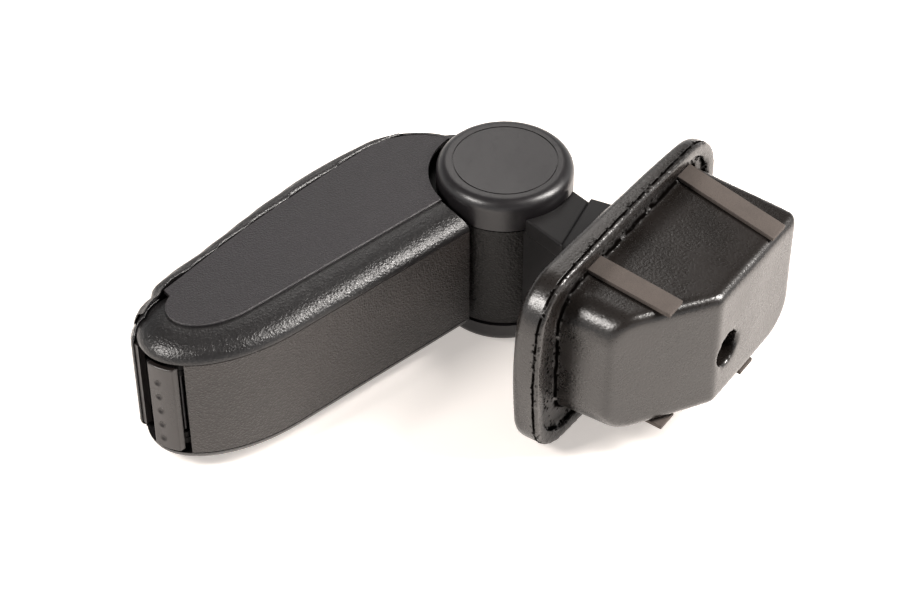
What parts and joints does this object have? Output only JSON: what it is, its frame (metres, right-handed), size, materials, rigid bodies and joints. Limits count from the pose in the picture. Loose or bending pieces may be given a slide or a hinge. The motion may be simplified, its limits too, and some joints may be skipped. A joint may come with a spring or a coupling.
{
  "type": "car centre armrest",
  "caption": "Car centre armrest with a grained pivoting arm, a storage box under a padded lid, a push latch and a foam foot plug.",
  "frame": {"origin": "middle of the plane in which the foot's flange seats on the console", "axes": "+Z along the hinge axis, across the car, +X to the rear of the car, +Y up in the car; stored lying on its side"},
  "size_m": [0.3948, 0.2643, 0.143],
  "materials": {
    "foot_foam": "satin integral skin",
    "strip_foam": "matte foam",
    "grained_shell": "leather grain",
    "grained_panel": "fine grain",
    "satin_cap": "satin",
    "neck_plastic": "matte",
    "tray_plastic": "matte",
    "lid_vinyl": "smooth semi-gloss vinyl",
    "latch_plastic": "satin",
    "steel": "zinc plated",
    "bracket_paint": "black coat",
    "bush_plastic": "natural acetal"
  },
  "bodies": {
    "foot": {"foot_block": "foot_foam", "foam_strip_upper_front": "strip_foam", "foam_strip_upper_rear": "strip_foam", "foam_strip_lower_front": "strip_foam", "foam_strip_lower_rear": "strip_foam", "bracket": "bracket_paint", "bracket_bolts": "steel", "neck_housing": "neck_plastic", "neck_cap_upper": "neck_plastic", "neck_cap_lower": "neck_plastic", "neck_collar": "neck_plastic", "barrel_cover": "grained_shell", "pivot_bush_upper": "bush_plastic", "pivot_bush_lower": "bush_plastic"},
    "arm": {"arm_base": "tray_plastic", "side_shell_upper": "grained_shell", "side_shell_lower": "grained_shell", "bottom_panel": "grained_panel", "rear_top_cover": "lid_vinyl", "disc_cap_upper": "satin_cap", "disc_cap_lower": "satin_cap", "pivot_bolt": "steel", "pivot_nut": "steel", "pivot_washers": "steel", "shell_screws": "steel", "lid_hinge_pin": "steel", "latch_pin": "steel", "latch_spring": "steel"},
    "lid": {"lid_frame": "tray_plastic", "lid_pad": "lid_vinyl"},
    "latch": {"latch_button": "latch_plastic"}
  },
  "joints": [
    {"name": "arm_hinge", "type": "hinge", "parent": "foot", "child": "arm", "pos_m": [-0.01851, 0.09895, 0], "axis": [0, 0, 1], "range_deg": [-90, 0]},
    {"name": "lid_hinge", "type": "hinge", "parent": "arm", "child": "lid", "pos_m": [-0.04551, 0.17595, 0], "axis": [0, 0, 1], "range_deg": [-75, 0]},
    {"name": "latch_hinge", "type": "hinge", "parent": "arm", "child": "latch", "pos_m": [-0.27451, 0.11295, 0], "axis": [0, 0, 1], "range_deg": [-8, 0], "stiffness_Nm_per_rad": 0.6, "springref_deg": 2.86, "deforming": ["latch_spring"]}
  ]
}
